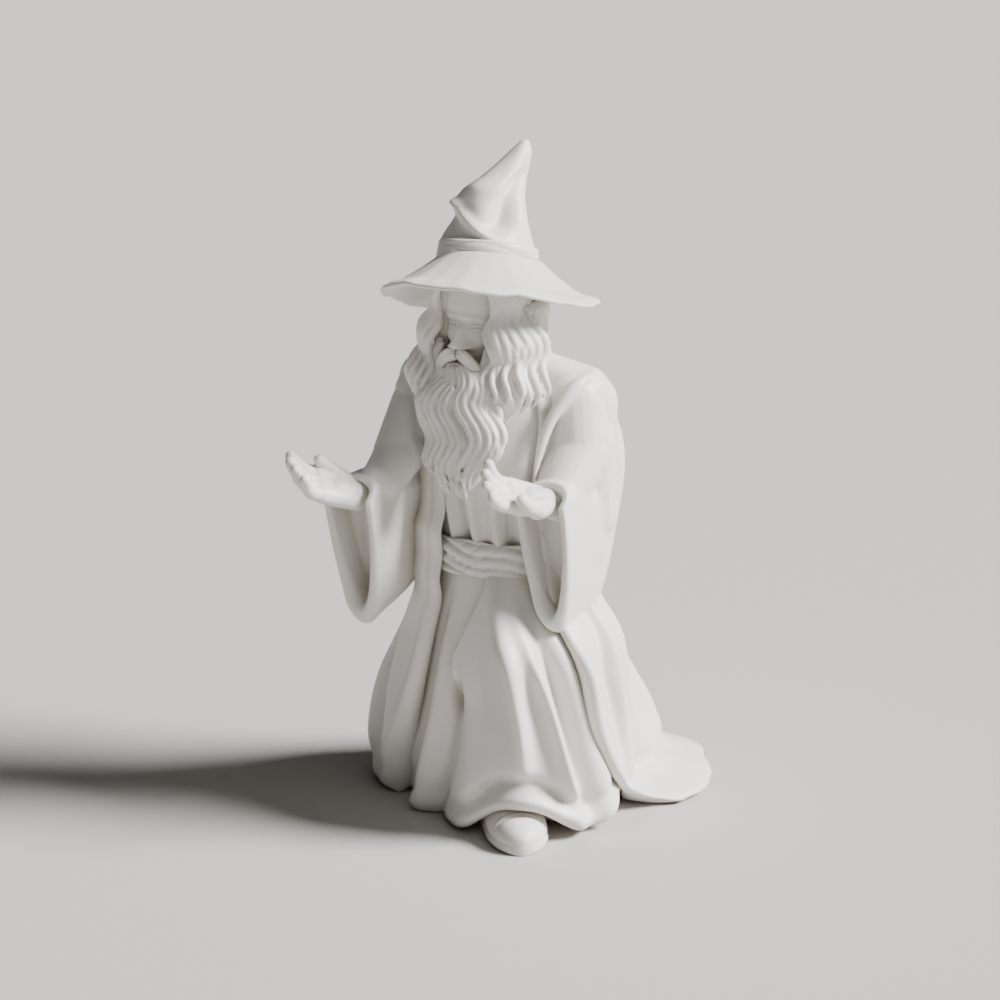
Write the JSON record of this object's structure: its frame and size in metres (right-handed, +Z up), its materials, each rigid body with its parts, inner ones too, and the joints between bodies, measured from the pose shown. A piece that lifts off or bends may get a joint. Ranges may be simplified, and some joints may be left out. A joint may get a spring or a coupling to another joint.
{
  "type": "tabletop miniature figure",
  "caption": "Standing robed wizard miniature with a wide-brimmed pointed hat, long beard, bell sleeves and both palms held up.",
  "frame": {"origin": "on the flat underside of the skirt, under the axis of the body", "axes": "+Z up, the figure faces -Y, its left side is towards +X"},
  "size_m": [0.0517, 0.0534, 0.0981],
  "materials": {
    "white_resin": "satin white casting resin, unpainted",
    "pin_brass": "drawn brass rod, unpolished"
  },
  "bodies": {
    "root": {"skirt": "white_resin", "tunic": "white_resin", "belt": "white_resin", "robe_train": "white_resin", "robe_back": "white_resin", "robe_front_left": "white_resin", "robe_front_right": "white_resin", "shoe_left": "white_resin", "head": "white_resin", "hair_back": "white_resin", "hair_left": "white_resin", "hair_right": "white_resin", "beard": "white_resin", "moustache": "white_resin", "hat_brim": "white_resin", "hat_crown": "white_resin", "hat_band": "white_resin", "sleeve_left": "white_resin", "sleeve_right": "white_resin", "hand_left": "white_resin", "hand_right": "white_resin", "waist_pin": "pin_brass", "neck_pin": "pin_brass", "hat_pin": "pin_brass", "beard_pin": "pin_brass", "shoulder_pin_left": "pin_brass", "shoulder_pin_right": "pin_brass", "wrist_pin_left": "pin_brass", "wrist_pin_right": "pin_brass", "back_pin": "pin_brass", "train_pin_left": "pin_brass", "train_pin_right": "pin_brass", "shoe_pin": "pin_brass"}
  },
  "joints": []
}
